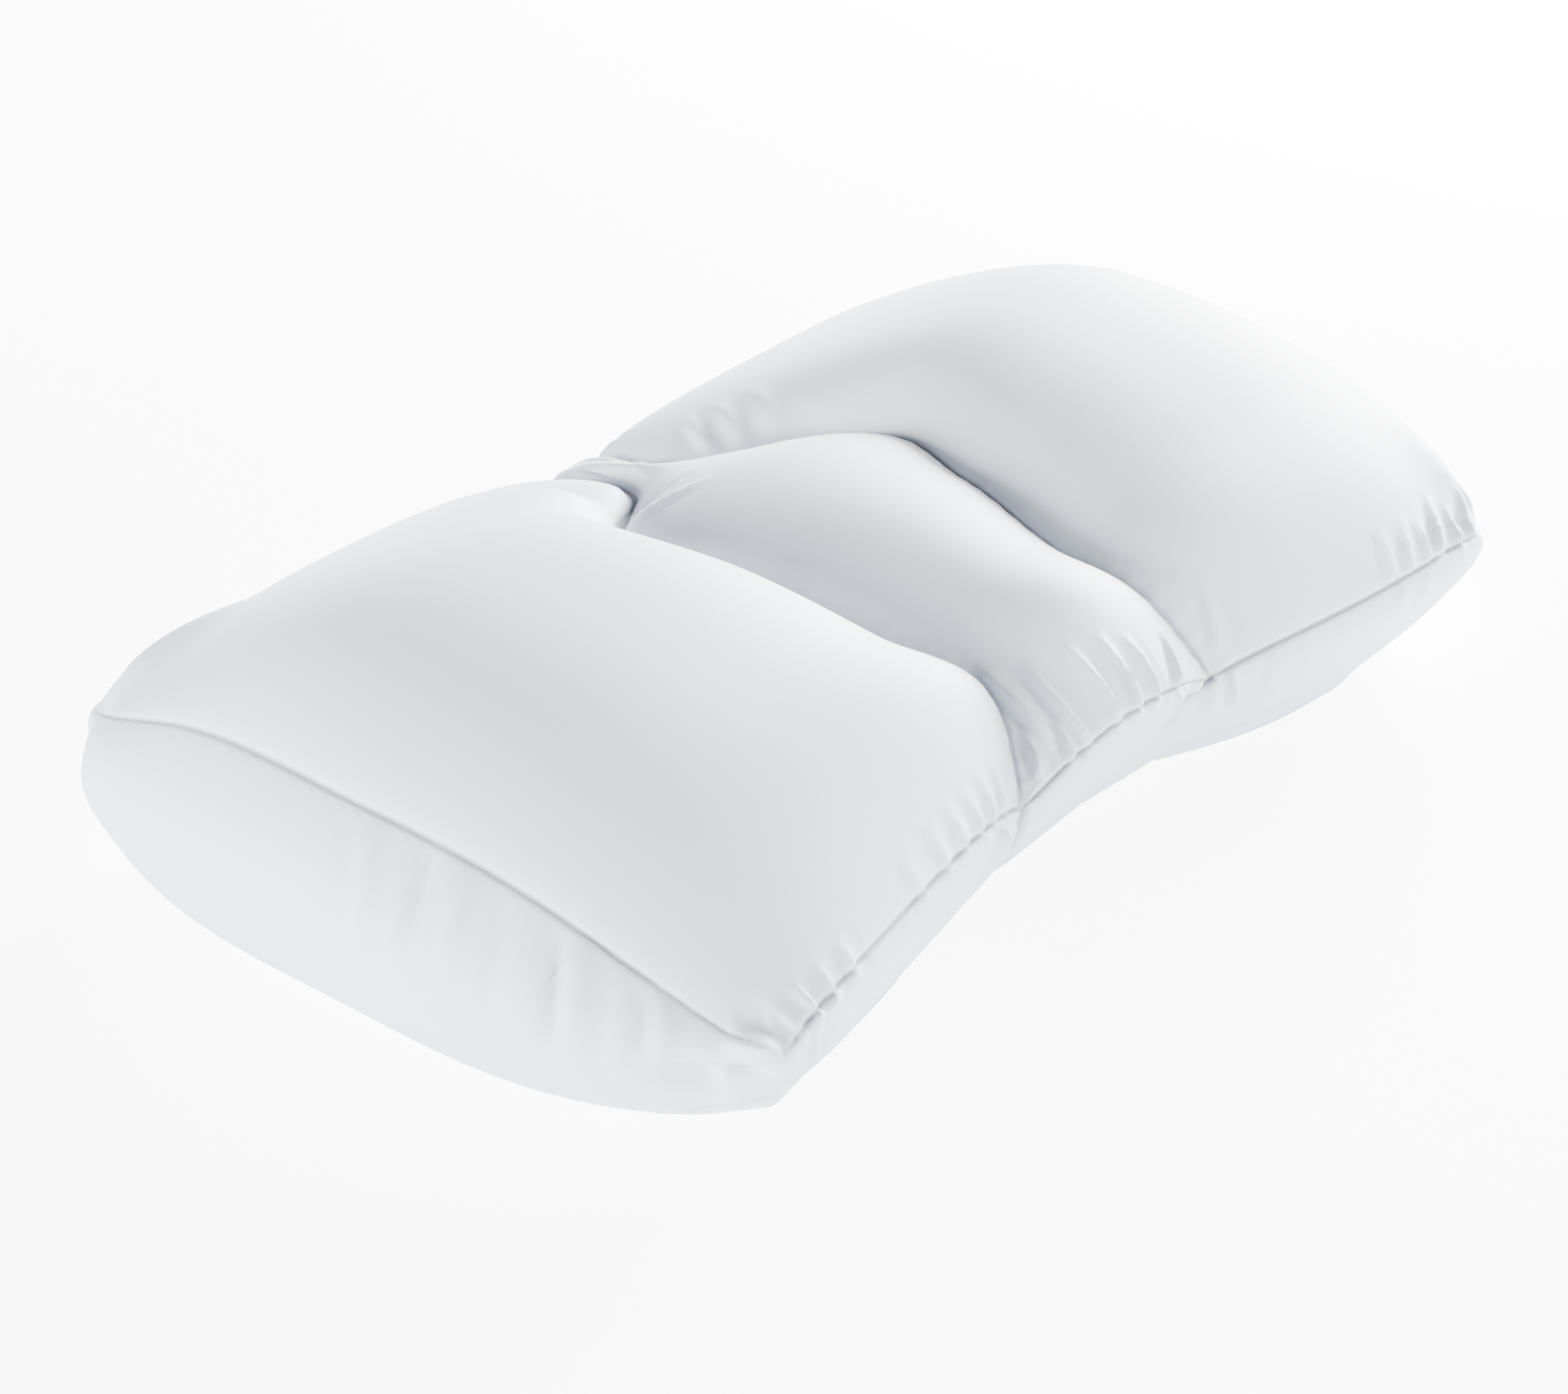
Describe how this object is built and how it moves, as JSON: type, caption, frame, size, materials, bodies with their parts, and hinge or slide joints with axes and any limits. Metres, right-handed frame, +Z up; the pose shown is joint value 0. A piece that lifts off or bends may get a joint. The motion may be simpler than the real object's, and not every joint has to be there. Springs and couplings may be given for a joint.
{
  "type": "microbead pillow",
  "caption": "Soft filled bed pillow with an hourglass plan: two domed lobes joined by a lower middle panel that narrows to the back, with a boxing band all round",
  "frame": {"origin": "on the floor under the middle of the pillow's extent", "axes": "+X along the pillow towards its right lobe, +Y from the front to the narrow back of the middle panel, +Z up"},
  "size_m": [0.5788, 0.3172, 0.128],
  "materials": {
    "cover": "smooth matt stretch knit with a faint satin sheen"
  },
  "bodies": {
    "root": {"pillow": "cover"}
  },
  "joints": []
}
